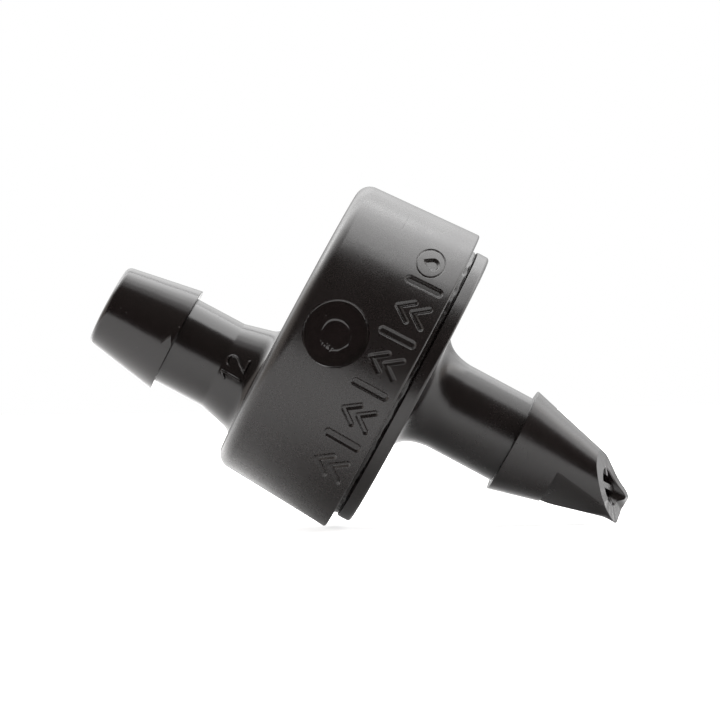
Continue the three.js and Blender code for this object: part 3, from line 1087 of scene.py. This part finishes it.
# Banks of softboxes over the part: from and to across the view, the edges of the bank's panels along +Y,
# and each panel's radiance
SOFTBOX_HEIGHT = 110
MAIN_BANK = ((16, 56), (-42, 12, 82), (5.2, 5.3))
LEFT_BANK = ((-110, 16), (-42, -15, 10, 35, 82), (1.0, 2.8, 4.2, 5.2))
RIGHT_BANK = ((56, 300), (-38, 50, 95), (2.7, 1.4))


def looking(place, aim, up):
    """The matrix of a camera or light at place that looks at aim."""
    back = (place - aim).normalized()
    right = up.cross(back).normalized()
    turned = Matrix((right, back.cross(right), back)).transposed()
    return Matrix.Translation(place) @ turned.to_4x4()


def lowest_along(direction, pieces):
    return min((piece.matrix_world @ v.co) @ direction for piece in pieces for v in piece.data.vertices)


def table_material():
    """Pale table with a painted glow, dim near the part as painted shade and brighter away from it, and
    brighter still to the camera as painted light that hides the part's shadow. It shows from above only, so
    it never hides the part."""
    material, nodes, place = new_material("pale_table_painted_glow")
    distance = nodes.add("ShaderNodeVectorMath", {0: place}, operation="LENGTH").outputs["Value"]
    seen = nodes.add("ShaderNodeLightPath").outputs["Is Camera Ray"]
    # painted glow: dim near the part as painted shade, brighter away from it
    painted_glow = ramp(nodes, distance, *TABLE_PAINTED_GLOW_REACH, *TABLE_PAINTED_GLOW)
    # the camera alone sees an extra painted glow, which hides the part's shadow on the table
    strength = calculated(nodes, "MULTIPLY_ADD", seen, TABLE_CAMERA_PAINTED_GLOW, painted_glow)
    glow = nodes.add("ShaderNodeEmission", {"Strength": strength})
    pale = nodes.add("ShaderNodeBsdfDiffuse", {"Color": TABLE_COLOUR})
    matt = nodes.add("ShaderNodeAddShader", {0: pale.outputs[0], 1: glow.outputs[0]})
    clear = nodes.add("ShaderNodeBsdfTransparent")
    side = nodes.add("ShaderNodeNewGeometry").outputs["Backfacing"]
    mixed = nodes.add("ShaderNodeMixShader", {0: side, 1: matt.outputs[0], 2: clear.outputs[0]})
    nodes.add("ShaderNodeOutputMaterial", {"Surface": mixed.outputs[0]})
    return material


def table():
    """The table ends a little way in front of the part, so that the walls reflect more than the table."""
    half = TABLE_SIZE / 2
    corners = [(-half, -TABLE_FRONT, 0), (half, -TABLE_FRONT, 0), (half, half, 0), (-half, half, 0)]
    made = add_mesh("table", corners, [(0, 1, 2, 3)])
    height = lowest_along(TABLE_UP, (cover, base))
    turned = Matrix((VIEW_AWAY.cross(TABLE_UP), VIEW_AWAY, TABLE_UP)).transposed()
    made.matrix_world = Matrix.Translation(TABLE_UP * (height - TABLE_GAP)) @ turned.to_4x4()
    made.data.materials.append(table_material())


def softbox(name, across, along, radiance):
    """A panel above the part in the view, which faces down. Across is measured to the right in the view,
    along is +Y, and each is the panel's (start, end) in millimetres."""
    light = bpy.data.lights.new(name, "AREA")
    light.shape = "RECTANGLE"
    light.size = (across[1] - across[0]) * MM
    light.size_y = (along[1] - along[0]) * MM
    light.energy = radiance * math.pi * light.size * light.size_y
    made = bpy.data.objects.new(name, light)
    bpy.context.scene.collection.objects.link(made)
    right = VIEW_AWAY.cross(VIEW_UP)
    middle = right * sum(across) / 2 + VIEW_AWAY * sum(along) / 2 + VIEW_UP * SOFTBOX_HEIGHT
    made.matrix_world = looking(middle * MM, (middle - VIEW_UP) * MM, VIEW_AWAY)
    made.visible_camera = False


def softbox_bank(name, across, edges, radiances):
    for number, radiance in enumerate(radiances):
        softbox(f"{name}_{number}", across, edges[number:number + 2], radiance)


def share_along(nodes, heading, direction):
    made = nodes.add("ShaderNodeVectorMath", {0: heading, 1: direction}, operation="DOT_PRODUCT")
    return made.outputs["Value"]


def studio_world():
    """White to the camera. To the object it is dim and warm in front, pale at the sides, and a pale sweep
    behind that brightens upwards."""
    world = bpy.data.worlds.new("studio")
    world.use_nodes = True
    nodes = Nodes(world.node_tree)
    heading = nodes.add("ShaderNodeTexCoord").outputs["Generated"]
    away = nodes.add("ShaderNodeSeparateXYZ", {0: heading}).outputs["Y"]
    up = share_along(nodes, heading, VIEW_UP)
    across = share_along(nodes, heading, VIEW_AWAY.cross(VIEW_UP))
    rise = ramp(nodes, up, *SWEEP_UP, *SWEEP_GLOW, way="LINEAR")
    sweep = mix_value(nodes, ramp(nodes, up, *TOP_UP, 0, 1), rise, TOP_GLOW)
    front = ramp(nodes, up, *FRONT_UP, *FRONT_GLOW)
    behind = ramp(nodes, away, *BEHIND_AWAY, 0, 1)
    shifted = calculated(nodes, "SUBTRACT", across, SIDE_SHIFT)
    beside = calculated(nodes, "MULTIPLY_ADD", away, SIDE_AWAY, calculated(nodes, "ABSOLUTE", shifted))
    side = ramp(nodes, beside, *SIDE_BESIDE, 0, SIDE_GLOW)
    strength = calculated(nodes, "ADD", mix_value(nodes, behind, front, sweep), side)
    colour = mix_colour(nodes, behind, FRONT_COLOUR, WHITE)
    lit = nodes.add("ShaderNodeBackground", {"Color": colour, "Strength": strength})
    white = nodes.add("ShaderNodeBackground", {"Color": WHITE, "Strength": 1.0})
    seen = nodes.add("ShaderNodeLightPath").outputs["Is Camera Ray"]
    mixed = nodes.add("ShaderNodeMixShader", {0: seen, 1: lit.outputs[0], 2: white.outputs[0]})
    nodes.add("ShaderNodeOutputWorld", {"Surface": mixed.outputs[0]})
    bpy.context.scene.world = world


def camera():
    data = bpy.data.cameras.new("camera")
    distance = (CAMERA_PLACE - CAMERA_AIM).length
    data.lens = data.sensor_width * distance / VIEW_WIDTH
    data.clip_start = CLIP_START
    data.clip_end = CLIP_END
    made = bpy.data.objects.new("camera", data)
    bpy.context.scene.collection.objects.link(made)
    made.matrix_world = looking(CAMERA_PLACE, CAMERA_AIM, VIEW_UP)
    bpy.context.scene.camera = made


table()
studio_world()
softbox_bank("main", *MAIN_BANK)
softbox_bank("left", *LEFT_BANK)
softbox_bank("right", *RIGHT_BANK)
camera()
bpy.context.scene.view_settings.view_transform = "Standard"
